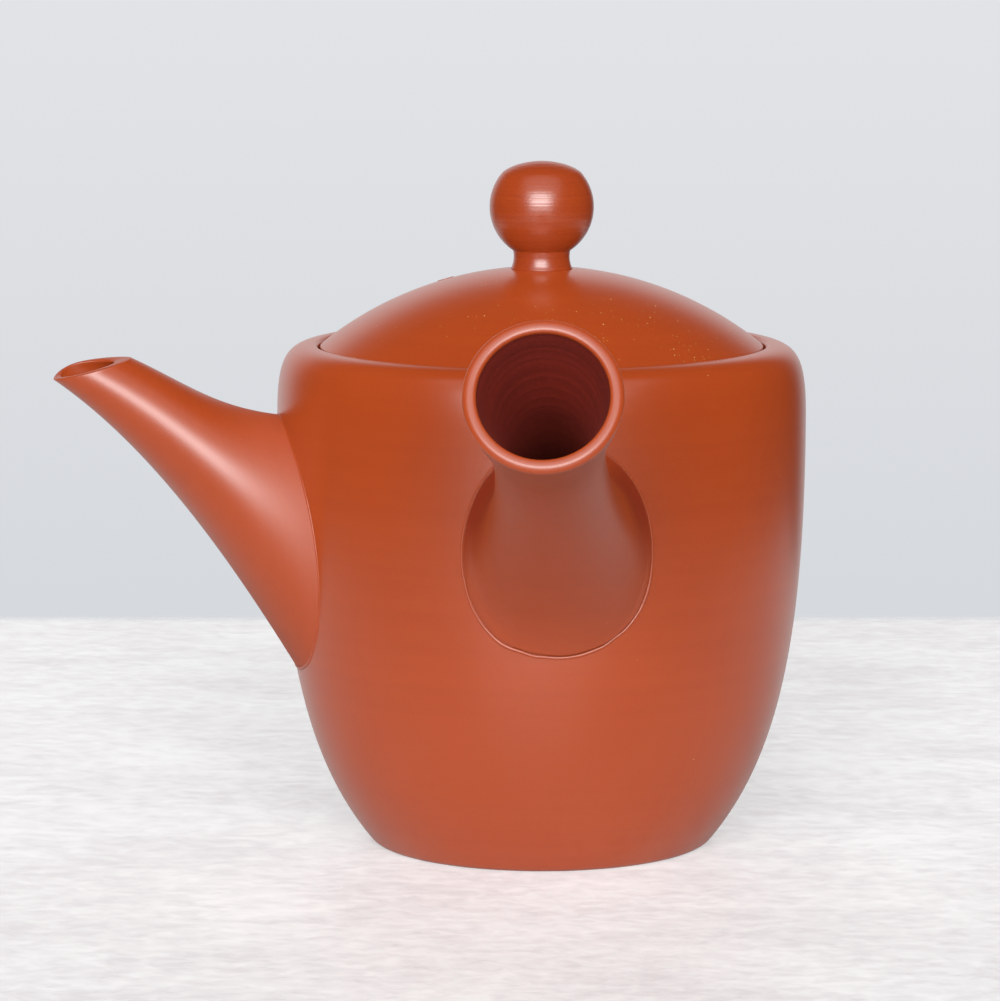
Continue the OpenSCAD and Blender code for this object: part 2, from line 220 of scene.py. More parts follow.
def softened(corners, radius, step):
    """Polyline with its inner corners rounded and its straight runs divided into short steps."""
    corners = np.asarray(corners, float)
    points = [corners[:1]]
    for before, here, after in zip(corners, corners[1:], corners[2:]):
        reach = min(radius, np.linalg.norm(here - before) / 2, np.linalg.norm(after - here) / 2)
        first, last = (here + reach * unit(other - here) for other in (before, after))
        points.append(bend(first, here, last, steps=7))
    points.append(corners[-1:])
    return divided(np.vstack(points), step)


def divided(points, step):
    """The same polyline with extra points, so that no two are further apart than a step."""
    kept = []
    for a, b in zip(points, points[1:]):
        count = max(1, math.ceil(np.linalg.norm(b - a) / step))
        kept.extend(a + (b - a) * i / count for i in range(count))
    return np.array(kept + [points[-1]])


# Outside of the body

WALL_CURVE = [
    (BASE_R, 0),
    (BASE_R + BELLY_Z * BASE_PULL * math.cos(BASE_SLOPE), BELLY_Z * BASE_PULL * math.sin(BASE_SLOPE)),
    (BODY_R, BELLY_Z * (1 - BELLY_PULL)),
    (BODY_R, BELLY_Z),
]
SHOULDER_CURVE = [
    (BODY_R, BELLY_Z),
    (BODY_R, BELLY_Z + SHOULDER_UP * (BODY_H - BELLY_Z)),
    (CREST_R + SHOULDER_OUT * (BODY_R - CREST_R), BODY_H),
    (CREST_R, BODY_H),
]
SHARES = np.linspace(0, 1, 2001)
OUTLINE = np.vstack([on_curve(WALL_CURVE, SHARES), on_curve(SHOULDER_CURVE, SHARES[1:])])


def share_at(c, z):
    """Share of the way at which a rising curve reaches a height."""
    return float(np.interp(z, on_curve(c, SHARES)[:, 1], SHARES))


def body_radius(z):
    """Outside radius of the body at a height."""
    return np.interp(z, OUTLINE[:, 1], OUTLINE[:, 0])


# Node trees

def place(tree, kind, inputs=None, **settings):
    """Adds a node. Its inputs are wired where they are sockets, and set where they are plain values."""
    made = tree.nodes.new(kind)
    for name, value in settings.items():
        setattr(made, name, value)
    for key, value in (inputs or {}).items():
        if isinstance(value, bpy.types.NodeSocket):
            tree.links.new(value, made.inputs[key])
        else:
            made.inputs[key].default_value = value
    return made


def reckon(tree, operation, *values):
    """Output of a Math node on sockets or numbers."""
    return place(tree, "ShaderNodeMath", dict(enumerate(values)), operation=operation).outputs[0]


def new_tree(name, kind, inputs, outputs):
    """Node group with named sockets, the sockets of its input node by name, and its output node."""
    tree = bpy.data.node_groups.new(name, kind)
    for side, sockets in (("INPUT", inputs), ("OUTPUT", outputs)):
        for label, socket_kind in sockets.items():
            tree.interface.new_socket(label, in_out=side, socket_type="NodeSocket" + socket_kind)
    return tree, tree.nodes.new("NodeGroupInput").outputs, tree.nodes.new("NodeGroupOutput")


def finished_by(piece, tree, **values):
    """Runs a geometry tree on a piece, with its named inputs, and keeps the result as a plain mesh."""
    modifier = piece.modifiers.new("tree", "NODES")
    modifier.node_group = tree
    for item in tree.interface.items_tree:
        label = item.name.replace(" ", "_").lower()
        if item.in_out == "INPUT" and label in values:
            modifier[item.identifier] = values[label]
    piece.update_tag()
    evaluated = piece.evaluated_get(bpy.context.evaluated_depsgraph_get())
    mesh = bpy.data.meshes.new_from_object(evaluated)
    piece.modifiers.remove(modifier)
    piece.data = mesh
    return piece


def wheel_tree():
    """Throws an outline on the wheel: turned about Z, with shallow rings where the outline asks for them."""
    tree, given, result = new_tree(
        "thrown_on_the_wheel", "GeometryNodeTree",
        {"Outline": "Geometry", "Facets": "Int", "Ring pitch": "Float", "Ring drift": "Float",
         "Outer clay": "Material", "Inner clay": "Material"},
        {"Thrown": "Geometry"})
    outline = given["Outline"]
    counted = place(tree, "GeometryNodeAttributeDomainSize", {0: outline}, component="MESH")
    rows = counted.outputs["Point Count"]
    grid = place(tree, "GeometryNodeMeshGrid", {
        "Size X": 1.0, "Size Y": 1.0,
        "Vertices X": reckon(tree, "ADD", given["Facets"], 1.0), "Vertices Y": rows,
    }).outputs["Mesh"]
    position = place(tree, "GeometryNodeInputPosition").outputs[0]
    spot = place(tree, "ShaderNodeSeparateXYZ", {0: position}).outputs
    turn = reckon(tree, "MULTIPLY_ADD", spot["X"], TURN, TURN / 2)
    last = reckon(tree, "SUBTRACT", rows, 1.0)
    row = reckon(tree, "ROUND", reckon(tree, "MULTIPLY", reckon(tree, "ADD", spot["Y"], 0.5), last))

    def from_outline(value, data_type):
        return place(tree, "GeometryNodeSampleIndex", {"Geometry": outline, "Value": value, "Index": row},
                     data_type=data_type).outputs[0]

    def named(label, data_type):
        return place(tree, "GeometryNodeInputNamedAttribute", {"Name": label}, data_type=data_type).outputs[0]

    for label in ("along", "inside"):
        grid = place(tree, "GeometryNodeStoreNamedAttribute", {
            "Geometry": grid, "Name": label, "Value": from_outline(named(label, "FLOAT"), "FLOAT"),
        }, data_type="FLOAT", domain="POINT").outputs[0]
    cosine = reckon(tree, "COSINE", turn)
    sine = reckon(tree, "SINE", turn)
    rings = place(tree, "ShaderNodeTexNoise", {
        "Vector": place(tree, "ShaderNodeCombineXYZ", {
            "X": reckon(tree, "MULTIPLY", cosine, given["Ring drift"]),
            "Y": reckon(tree, "MULTIPLY", sine, given["Ring drift"]),
            "Z": reckon(tree, "DIVIDE", named("along", "FLOAT"), given["Ring pitch"]),
        }).outputs[0],
        "Scale": 1.0, "Detail": 2.0,
    }).outputs[0]
    depth = reckon(tree, "MULTIPLY_ADD", rings, 2.0, -1.0)
    shifted = place(tree, "ShaderNodeVectorMath", {
        0: from_outline(named("rings", "FLOAT_VECTOR"), "FLOAT_VECTOR"), 1: depth,
        2: from_outline(position, "FLOAT_VECTOR"),
    }, operation="MULTIPLY_ADD").outputs[0]
    flat = place(tree, "ShaderNodeSeparateXYZ", {0: shifted}).outputs
    thrown = place(tree, "ShaderNodeCombineXYZ", {
        "X": reckon(tree, "MULTIPLY", flat["X"], cosine),
        "Y": reckon(tree, "MULTIPLY", flat["X"], sine),
        "Z": flat["Z"],
    }).outputs[0]
    shape = place(tree, "GeometryNodeSetPosition", {"Geometry": grid, "Position": thrown}).outputs[0]
    shape = place(tree, "GeometryNodeMergeByDistance", {"Geometry": shape, "Distance": WELD}).outputs[0]
    shape = place(tree, "GeometryNodeSetShadeSmooth", {"Geometry": shape}).outputs[0]
    shape = place(tree, "GeometryNodeRealizeInstances", {"Geometry": shape}).outputs[0]
    shape = place(tree, "GeometryNodeSetMaterial", {
        "Geometry": shape, "Material": given["Outer clay"],
    }).outputs[0]
    shape = place(tree, "GeometryNodeSetMaterial", {
        "Geometry": shape, "Material": given["Inner clay"],
        "Selection": reckon(tree, "GREATER_THAN", named("inside", "FLOAT"), 0.5),
    }).outputs[0]
    tree.links.new(shape, result.inputs[0])
    return tree


def pierced_tree():
    """Pierces a round end with pores that stand in rings about the X axis, each square to the clay."""
    tree, given, result = new_tree(
        "pierced_in_rings", "GeometryNodeTree",
        {"Thimble": "Geometry", "Rings": "Int", "Ring step": "Float", "Pore width": "Float",
         "Pore depth": "Float", "Dome radius": "Float", "Dome centre": "Vector", "Clay": "Material"},
        {"Pierced": "Geometry"})
    start = tree.nodes.new("GeometryNodeRepeatInput")
    end = tree.nodes.new("GeometryNodeRepeatOutput")
    start.pair_with_output(end)
    tree.links.new(given["Rings"], start.inputs["Iterations"])
    tilt = reckon(tree, "MULTIPLY", start.outputs["Iteration"], given["Ring step"])
    round_way = reckon(tree, "MULTIPLY", reckon(tree, "SINE", tilt), TURN)
    count = reckon(tree, "FLOOR", reckon(tree, "DIVIDE", round_way, given["Ring step"]))
    count = reckon(tree, "MAXIMUM", count, 1.0)
    index = place(tree, "GeometryNodeInputIndex").outputs[0]
    turn = reckon(tree, "DIVIDE", reckon(tree, "MULTIPLY", index, TURN), count)
    way = place(tree, "ShaderNodeCombineXYZ", {
        "X": reckon(tree, "COSINE", tilt),
        "Y": reckon(tree, "MULTIPLY", reckon(tree, "SINE", tilt), reckon(tree, "SINE", turn)),
        "Z": reckon(tree, "MULTIPLY", reckon(tree, "SINE", tilt), reckon(tree, "COSINE", turn)),
    }).outputs[0]
    radius = place(tree, "ShaderNodeCombineXYZ", dict.fromkeys("XYZ", given["Dome radius"])).outputs[0]
    spots = place(tree, "GeometryNodePoints", {
        "Count": count,
        "Position": place(tree, "ShaderNodeVectorMath", {0: way, 1: radius, 2: given["Dome centre"]},
                          operation="MULTIPLY_ADD").outputs[0],
    }).outputs[0]
    joined = tree.nodes.new("GeometryNodeJoinGeometry")
    tree.links.new(start.outputs["Geometry"], joined.inputs[0])
    tree.links.new(spots, joined.inputs[0])
    tree.links.new(joined.outputs[0], end.inputs["Geometry"])
    position = place(tree, "GeometryNodeInputPosition").outputs[0]
    outward = place(tree, "ShaderNodeVectorMath", {0: position, 1: given["Dome centre"]},
                    operation="SUBTRACT").outputs[0]
    needle = place(tree, "GeometryNodeMeshCylinder", {
        "Vertices": 16, "Radius": reckon(tree, "DIVIDE", given["Pore width"], 2.0),
        "Depth": given["Pore depth"],
    }).outputs[0]
    needles = place(tree, "GeometryNodeInstanceOnPoints", {
        "Points": end.outputs["Geometry"], "Instance": needle,
        "Rotation": place(tree, "FunctionNodeAlignRotationToVector", {"Vector": outward},
                          axis="Z").outputs[0],
    }).outputs[0]
    needles = place(tree, "GeometryNodeRealizeInstances", {"Geometry": needles}).outputs[0]
    pierced = place(tree, "GeometryNodeMeshBoolean", {"Mesh 1": given["Thimble"], "Mesh 2": needles},
                    operation="DIFFERENCE", solver="EXACT").outputs[0]
    shape = place(tree, "GeometryNodeRealizeInstances", {"Geometry": pierced}).outputs[0]
    shape = place(tree, "GeometryNodeSetMaterial", {"Geometry": shape, "Material": given["Clay"]}).outputs[0]
    tree.links.new(shape, result.inputs[0])
    return tree


# Meshes

def new_piece(name, mesh):
    piece = bpy.data.objects.new(name, mesh)
    scene.collection.objects.link(piece)
    return piece


def point_values(mesh, label, values, kind="FLOAT"):
    """Stores a value or a vector for each vertex."""
    attribute = mesh.attributes.new(label, kind, "POINT")
    field = "value" if kind == "FLOAT" else "vector"
    attribute.data.foreach_set(field, np.asarray(values, np.float32).ravel())


def outline_mesh(name, stretches):
    """Outline for the wheel. Each stretch is its points, the depth of its rings, and whether it is inside."""
    points, depths, inside = [], [], []
    for line, depth, is_inside in stretches:
        line = line if not points else line[1:]
        points.extend(line)
        depths.extend([depth] * len(line))
        inside.extend([float(is_inside)] * len(line))
    points = np.array(points)
    way = unit(np.gradient(points, axis=0))
    out = np.stack([way[:, 1], np.zeros(len(points)), -way[:, 0]], -1) * np.array(depths)[:, None]
    out[points[:, 0] < TOUCH] = 0
    steps = np.linalg.norm(np.diff(points, axis=0), axis=1)
    mesh = bpy.data.meshes.new(name)
    edges = [(i, i + 1) for i in range(len(points) - 1)]
    mesh.from_pydata([(r, 0, z) for r, z in points], edges, [])
    point_values(mesh, "along", np.concatenate([[0], np.cumsum(steps)]))
    point_values(mesh, "inside", inside)
    point_values(mesh, "rings", out, "FLOAT_VECTOR")
    return mesh


def loft_mesh(name, rings, closed, values):
    """Mesh through rings of points, with outward faces. Rings that shrink to a point become a pole."""
    rings = np.asarray(rings)
    count, sides = rings.shape[:2]
    faces = []
    for i in range(count if closed else count - 1):
        here, there = i * sides, (i + 1) % count * sides
        for k in range(sides):
            after = (k + 1) % sides
            faces.append((here + k, here + after, there + after, there + k))
    mesh = bpy.data.meshes.new(name)
    mesh.from_pydata(rings.reshape(-1, 3).tolist(), [], faces)
    for label, value in values.items():
        point_values(mesh, label, np.repeat(value, sides))
    shape = bmesh.new()
    shape.from_mesh(mesh)
    bmesh.ops.remove_doubles(shape, verts=shape.verts, dist=TOUCH)
    bmesh.ops.recalc_face_normals(shape, faces=shape.faces)
    shape.to_mesh(mesh)
    shape.free()
    mesh.shade_smooth()
    return mesh


def drilled(piece, drill, lining):
    """Cuts a closed drill out of a piece, lines the cut with a clay, and keeps its edges crisp."""
    drill.materials.append(lining)
    cutter = new_piece("drill", drill)
    modifier = piece.modifiers.new("drill", "BOOLEAN")
    modifier.material_mode = "TRANSFER"
    modifier.operation = "DIFFERENCE"
    modifier.solver = "EXACT"
    modifier.object = cutter
    mesh = bpy.data.meshes.new_from_object(piece.evaluated_get(bpy.context.evaluated_depsgraph_get()))
    piece.modifiers.remove(modifier)
    bpy.data.objects.remove(cutter)
    piece.data = mesh
    mesh.set_sharp_from_angle(angle=SHARP)
    return piece


def with_mesh(piece, extra):
    """Adds a second closed mesh to a piece."""
    shape = bmesh.new()
    shape.from_mesh(piece.data)
    shape.from_mesh(extra)
    shape.to_mesh(piece.data)
    shape.free()
    return piece


# Thrown pieces: point spacings, facets, roundings, and the rings that the wheel leaves

FINE = 0.3 * MM
COARSE = 0.6 * MM
RING_PITCH = 2.2 * MM
RING_DRIFT = 0.25
KNOB_RING_PITCH = 0.5 * MM
BODY_FACETS = 144
LID_FACETS = 160
KNOB_FACETS = 128
FOOT_ROUND = 0.3 * MM
SEAT_ROUND = 0.4 * MM
LID_ROUND = 0.45 * MM
DOME_STOP = 0.006
OUTER_RINGS = 0.004 * MM
INNER_RINGS = 0.05 * MM
FOOT_RINGS = 0.02 * MM
KNOB_RINGS = 0.022 * MM


def body_outline():
    """Half section of the body: under the foot, up the wall, over the rim, and down the inside."""
    first = share_at(WALL_CURVE, FOOT_EDGE)
    foot = softened([(0, FOOT_HOLLOW), (RING_R - FOOT_HOLLOW, FOOT_HOLLOW), (RING_R, FOOT_RINGS),
                     (BASE_R - FOOT_EDGE, FOOT_RINGS)], FOOT_ROUND, COARSE)
    edge = bend((BASE_R - FOOT_EDGE, 0), (BASE_R, 0), on_curve(WALL_CURVE, first), steps=9)
    wall = on_curve(WALL_CURVE, np.linspace(first, 1, 220))
    shoulder = on_curve(SHOULDER_CURVE, np.linspace(0, 1, 50))
    rim = arc((CREST_R, BODY_H - RIM_EDGE), RIM_EDGE, TURN / 4, TURN / 2, steps=12)
    ledge = softened([(RECESS_R, BODY_H - RIM_EDGE), (RECESS_R, SEAT_Z), (MOUTH_R, SEAT_Z),
                      (MOUTH_R, NECK_Z)], SEAT_ROUND, COARSE)
    top = share_at(WALL_CURVE, NECK_Z - UNDER_H)
    meet = left_of(WALL_CURVE, top, WALL)
    upward = unit(along(WALL_CURVE, top))
    under = on_curve([(MOUTH_R, NECK_Z), (MOUTH_R + UNDER_OUT * (meet[0] - MOUTH_R), NECK_Z),
                      meet + UNDER_UP * UNDER_H * upward, meet], np.linspace(0, 1, 36))
    low = share_at(WALL_CURVE, FLOOR_Z + FLOOR_CORNER)
    inner = left_of(WALL_CURVE, np.linspace(top, low, 110), WALL)
    way = along(WALL_CURVE, low)
    corner = inner[-1] - way * (inner[-1][1] - FLOOR_Z) / way[1]
    hollow = bend(inner[-1], corner, corner - (FLOOR_CORNER, 0), steps=20)
    floor = divided(np.array([hollow[-1], (0, FLOOR_Z)]), COARSE)
    return outline_mesh("body_outline", [
        (foot, FOOT_RINGS, False), (edge, 0, False), (wall, OUTER_RINGS, False),
        (shoulder, OUTER_RINGS, False), (rim, 0, False), (ledge, 0, True), (under, INNER_RINGS, True),
        (inner, INNER_RINGS, True), (hollow, INNER_RINGS, True), (floor, INNER_RINGS, True),
    ])


def lid_outline():
    """Half section of the lid: over the dome, round its edge, down the flange and back under the dome."""
    foot_r = NECK_R + NECK_SPREAD
    dome_end = math.asin((EDGE_Z - DOME_Z) / DOME_R)
    flat = divided(np.array([(0, KNOB_Z), (foot_r, KNOB_Z)]), COARSE)
    dome = arc((0, DOME_Z), DOME_R, math.acos(foot_r / DOME_R), dome_end + DOME_STOP, steps=140)
    hollow_r = DOME_R - LID_T
    bore_r = FLANGE_R - FLANGE_T
    bore_top = DOME_Z + math.sqrt(hollow_r ** 2 - bore_r ** 2)
    edge = softened([dome[-1], (LID_R, EDGE_Z), (LID_R, SEAT_Z), (FLANGE_R, SEAT_Z), (FLANGE_R, FLANGE_Z),
                     (bore_r, FLANGE_Z), (bore_r, bore_top)], LID_ROUND, COARSE)
    hollow = arc((0, DOME_Z), hollow_r, math.acos(bore_r / hollow_r), TURN / 4, steps=70)
    hollow[-1, 0] = 0
    return outline_mesh("lid_outline", [
        (flat, 0, False), (dome, OUTER_RINGS, False), (edge, 0, False), (hollow, INNER_RINGS, True),
    ])


def knob_outline():
    """Half section of the knob: its neck, the ball and the flattened crown."""
    neck_angle = math.acos(NECK_R / BALL_R)
    ball_z = KNOB_Z + NECK_H + BALL_R * math.sin(neck_angle)
    crown_h = BALL_R - KNOB_FLAT
    brow = BALL_R * np.array([math.cos(CROWN_ANGLE), math.sin(CROWN_ANGLE)])
    pull = CROWN_PULL * (crown_h - brow[1]) / math.cos(CROWN_ANGLE)
    crown = on_curve([brow, brow + pull * np.array([-math.sin(CROWN_ANGLE), math.cos(CROWN_ANGLE)]),
                      (brow[0] / 2, crown_h), (0, crown_h)], np.linspace(0, 1, 70)) + (0, ball_z)
    under = divided(np.array([(0, KNOB_Z), (NECK_R + NECK_SPREAD, KNOB_Z)]), COARSE)
    waist = (NECK_R - NECK_SPREAD, KNOB_Z + NECK_H / 2)
    neck = bend(under[-1], waist, (NECK_R, KNOB_Z + NECK_H), steps=24)
    ball = arc((0, ball_z), BALL_R, -neck_angle, CROWN_ANGLE, steps=170)
    return outline_mesh("knob_outline", [
        (under, 0, False), (neck, KNOB_RINGS, False), (ball, KNOB_RINGS, False), (crown, KNOB_RINGS, False),
    ])


def thrown(name, outline, facets, pitch, outer, inner):
    piece = new_piece(name, outline)
    return finished_by(piece, WHEEL, facets=facets, ring_pitch=pitch, ring_drift=RING_DRIFT,
                       outer_clay=outer, inner_clay=inner)


def rod(start, way, radius, length, sides):
    """Closed round rod, as a drill."""
    ring = radius * spokes(way, sides)
    end = start + length * way
    return loft_mesh("drill", [start + 0 * ring, start + ring, end + ring, end + 0 * ring], False, {})


def make_body():
    """Thrown body, with the round hole behind the spout that takes the strainer."""
    body = thrown("teapot_body", body_outline(), BODY_FACETS, RING_PITCH, BURNISHED, RAW)
    start = np.array([-BODY_R - WALL, 0, STRAINER_Z])
    return drilled(body, rod(start, np.array([1.0, 0, 0]), STRAINER_R, BODY_R / 2, sides=96), RAW)


def make_lid():
    """Thrown lid, with the vent drilled square to its dome."""
    lid = thrown("teapot_lid", lid_outline(), LID_FACETS, RING_PITCH, LID_CLAY, RAW)
    tilt = math.asin(VENT_OUT / DOME_R)
    way = np.array([math.sin(tilt) * math.cos(VENT_AT), math.sin(tilt) * math.sin(VENT_AT), math.cos(tilt)])
    start = np.array([0, 0, DOME_Z]) + (DOME_R - 2 * LID_T) * way
    # The vent is lined with the darkened bore clay: painted shade in the hole
    drilled(lid, rod(start, way, VENT_D / 2, 3 * LID_T, sides=32), SHADED_BORE)
    return with_burr(lid, np.array([0, 0, DOME_Z]) + DOME_R * way, way)


def with_burr(lid, mouth, way):
    """Adds the low burr of clay that the drill has pushed up round the vent."""
    spoke = spokes(way, 48)
    section = turns(16)
    half_step = section[1] / 2
    rings = [mouth + spoke * (VENT_D / 2 + BURR_R * (1 + math.cos(a))) + way * BURR_R * math.sin(a)
             for a in section]
    burr = loft_mesh("burr", rings, True, {"along": np.zeros(len(rings))})
    clays = list(lid.data.materials)
    # The burr's inner faces take the darkened bore clay: painted shade
    for face in burr.polygons:
        inward = math.cos(section[face.index // len(spoke)] + half_step) < 0
        face.material_index = clays.index(SHADED_BORE if inward else LID_CLAY)
    return with_mesh(lid, burr)


def make_knob():
    return thrown("lid_knob", knob_outline(), KNOB_FACETS, KNOB_RING_PITCH, KNOB_CLAY, KNOB_CLAY)


# Strainer

def make_strainer():
    """Perforated thimble in the wall behind the spout, flush with the outside of the body."""
    q = turns(96)
    across = np.stack([0 * q, np.sin(q), np.cos(q)], -1)
    outer_r = STRAINER_R - SLIP
    inner_r = outer_r - STRAINER_T
    hole_in_r = body_radius(STRAINER_Z - STRAINER_R) - WALL
    centre = np.array([-math.sqrt(hole_in_r ** 2 - STRAINER_R ** 2), 0, STRAINER_Z])

    def skin(radius):
        rim = centre + radius * across
        rim[:, 0] = -np.sqrt((body_radius(rim[:, 2]) - SLIP) ** 2 - rim[:, 1] ** 2)
        collar = [rim + (centre + radius * across - rim) * share for share in np.linspace(0, 1, num=12)[:-1]]
        dome = [centre + radius * (across * math.cos(a) + np.array([math.sin(a), 0, 0]))
                for a in np.linspace(0, TURN / 4, num=40)]
        dome[-1][:] = centre + (radius, 0, 0)
        return collar + dome

    rings = skin(outer_r)[::-1] + skin(inner_r)
    mesh = loft_mesh("strainer", rings, False, {"along": np.arange(len(rings)) * COARSE})
    piece = new_piece("tea_strainer", mesh)
    step = PORE_PITCH / outer_r
    finished_by(piece, pierced_tree(), rings=math.floor(PORE_LIMIT / step) + 1, ring_step=step,
                pore_width=PORE_D, pore_depth=4 * STRAINER_T, dome_radius=(outer_r + inner_r) / 2,
                dome_centre=tuple(centre), clay=RAW)
    piece.data.set_sharp_from_angle(angle=SHARP)
    return piece


# Spout and handle: hollow lofts from a lip to the wall of the body

SIDES = 160
LIP_RINGS = 24
LIP_CRISP = 0.6
EDGE_RINGS = 6
EDGE_DEPTH = 0.9
EDGE_WAVER = 0.25
BORE_RING_PITCH = 0.7 * MM
ROOT_TURN_POWER = 6
ROOT_SHARES = (0.5, 3.0)
ROOT_HALVINGS = 40


class Limb:
    """A hollow limb. Its upper and lower lines lie in one upright plane, as distance out and height."""

    def __init__(self, start, heading, root_heading, back, front, half, thick, lip_rise, proud):
        self.start = np.array(start)
        self.heading = heading
        self.root_turn = root_heading - heading
        self.back = np.array(back, float)
        self.front = np.array(front, float)
        self.half = np.array(half, float)
        self.thick = thick
        self.lip_rise = lip_rise
        self.proud = proud
        ways = [np.linalg.norm(line[-1, 3] - line[-1, 2]) for line in (self.back, self.front)]
        self.flare = (self.half[-1, 3] - self.half[-1, 2]) / np.mean(ways)

    @staticmethod
    def on_line(line, share, read):
        """Points on a chain of curves, or its directions, at shares of the whole way."""
        part = np.clip(np.floor(share * len(line)), 0, len(line) - 1).astype(int)
        result = np.zeros(share.shape + line.shape[2:])
        for i, curve in enumerate(line):
            chosen = part == i
            result[chosen] = read(curve, share[chosen] * len(line) - i)
        return result

    def point(self, turn, t, inner):
        """Points of the outer or inner skin, by the turn round the limb and the share of the way down it."""
        share = np.minimum(t, 1)
        back, front = (self.on_line(line, share, on_curve) for line in (self.back, self.front))
        back_way, front_way = (unit(self.on_line(line, share, along)) for line in (self.back, self.front))
        line = unit(back - front)
        back_in, front_in = (inner * (lip + (self.thick[2] - lip) * share)[..., None]
                             for lip in self.thick[:2])

        def slant(way):
            return 1 / np.abs(way[..., :1] * line[..., 1:] - way[..., 1:] * line[..., :1])

        half = self.on_line(self.half[..., None], share, on_curve)
        tail = half * (t - share)[..., None]
        top = back + tail * back_way - back_in * slant(back_way) * line
        low = front + tail * front_way + front_in * slant(front_way) * line
        p = (top + low) / 2 + (top - low) / 2 * np.cos(turn)[..., None]
        side = (half + self.flare * tail - (back_in + front_in) / 2)[..., 0] * np.sin(turn)
        heading = self.heading + self.root_turn * share ** ROOT_TURN_POWER
        x = self.start[0] + p[..., 0] * np.cos(heading) - side * np.sin(heading)
        y = self.start[1] + p[..., 0] * np.sin(heading) + side * np.cos(heading)
        return np.stack([x, y, p[..., 1]], -1)

    def root_share(self, turn, inner, gap):
        """Share at which each line of a skin comes within a gap of the body's surface."""
        low, high = (np.full(turn.shape, share) for share in ROOT_SHARES)
        for _ in range(ROOT_HALVINGS):
            mid = (low + high) / 2
            p = self.point(turn, mid, inner)
            clear = np.hypot(p[:, 0], p[:, 1]) > body_radius(p[:, 2]) + gap
            low, high = np.where(clear, mid, low), np.where(clear, high, mid)
        return low

    def lip_share(self, turn):
        """Share at which each line of the skin starts: the two sides of the lip stand a little proud."""
        return -np.where(np.sin(turn) > 0, self.proud[0], self.proud[1]) * np.sin(turn) ** 2

    def skin(self, turn, inner, gap, rings):
        """Rings of one skin, from the lip to the root."""
        first = self.lip_share(turn)
        last = self.root_share(turn, inner, gap)
        return np.array([self.point(turn, first + (last - first) * i / rings, inner)
                         for i in range(rings + 1)])

    def lip(self, outer, inner, steps):
        """Rings that round the lip over from the inner skin to the outer one: crisp inside, soft outside."""
        line = self.back[0, 0] - self.front[0, 0]
        flat = self.lip_rise * np.array([line[1], -line[0]]) / np.linalg.norm(line)
        out = np.array([flat[0] * math.cos(self.heading), flat[0] * math.sin(self.heading), flat[1]])
        q = np.linspace(0, math.pi / 2, 200)
        crisp = np.column_stack([np.cos(q) ** LIP_CRISP, np.sin(q) ** LIP_CRISP])
        soft = np.column_stack([-np.sin(q), np.cos(q)])[1:]
        profile = np.concatenate([crisp, soft])
        way = np.concatenate([[0], np.cumsum(np.linalg.norm(np.diff(profile, axis=0), axis=1))])
        stops = np.linspace(0, way[-1], steps + 1)[1:-1]
        across, up = (np.interp(stops, way, profile[:, i]) for i in range(2))
        return np.array([(outer + inner) / 2 - (outer - inner) / 2 * a + out * u
                         for a, u in zip(across, up)])


def waver(turn, seed, waves=14):
    """Slow unevenness round a seam, between about -1 and 1, made of a few waves."""
    draw = np.random.default_rng(seed)
    total = sum(draw.normal() / math.sqrt(n) * np.sin(n * turn + draw.uniform(0, TURN))
                for n in range(2, 2 + waves))
    return total / np.abs(total).max()


def ringed(skin, depth, pitch, seed):
    """Adds shallow turning rings to a skin, by moving each of its rings a little along its own spread."""
    draw = np.random.default_rng(seed)
    middle = skin.mean(1)
    way = np.concatenate([[0], np.cumsum(np.linalg.norm(np.diff(middle, axis=0), axis=1))])
    knots = draw.uniform(-1, 1, int(way[-1] / pitch) + 2)
    shift = depth * np.interp(way / pitch, np.arange(len(knots)), knots)
    return skin + shift[:, None, None] * unit(skin - middle[:, None])


# Seams: the bead of slip, its share of size at the top and its unevenness, and the marks that the clay reads:
# painted shade in the hollows beside a root, and rougher clay towards it

BEAD_R = 0.32 * MM
BEAD_SINK = 0.1 * MM
BEAD_TOP = 0.6
BEAD_SIDES = 10
BEAD_WAVES = 30
BEAD_PLACE_WAVER = 0.35
BEAD_SIZE_WAVER = 0.25
# Painted shade in the hollows beside a root: its width, its reach, and the shares of side and height over
# which it comes in
PAINTED_SHADE_WIDE = 9 * MM
PAINTED_SHADE_REACH = 1.6
PAINTED_SHADE_SIDE = (0.4, 0.75)
PAINTED_SHADE_UP = (-0.3, 0.3)
ROOT_FROM = 0.4


def ramp(value, first, last):
    """Share of the way from a first to a last value, held between 0 and 1."""
    return np.clip((value - first) / (last - first), 0, 1)


def seam_frame(ring):
    """Directions at a seam: away from the wall of the body, and along it away from the limb."""
    radial = np.hypot(ring[:, 0], ring[:, 1])
    slope = (body_radius(ring[:, 2] + FINE) - body_radius(ring[:, 2] - FINE)) / (2 * FINE)
    away = unit(np.column_stack([ring[:, :2] / radial[:, None], -slope]))
    aside = unit(np.cross(np.roll(ring, -1, 0) - np.roll(ring, 1, 0), away))
    outward = np.sign(((ring - ring.mean(0)) * aside).sum(1).mean())
    return away, aside * outward


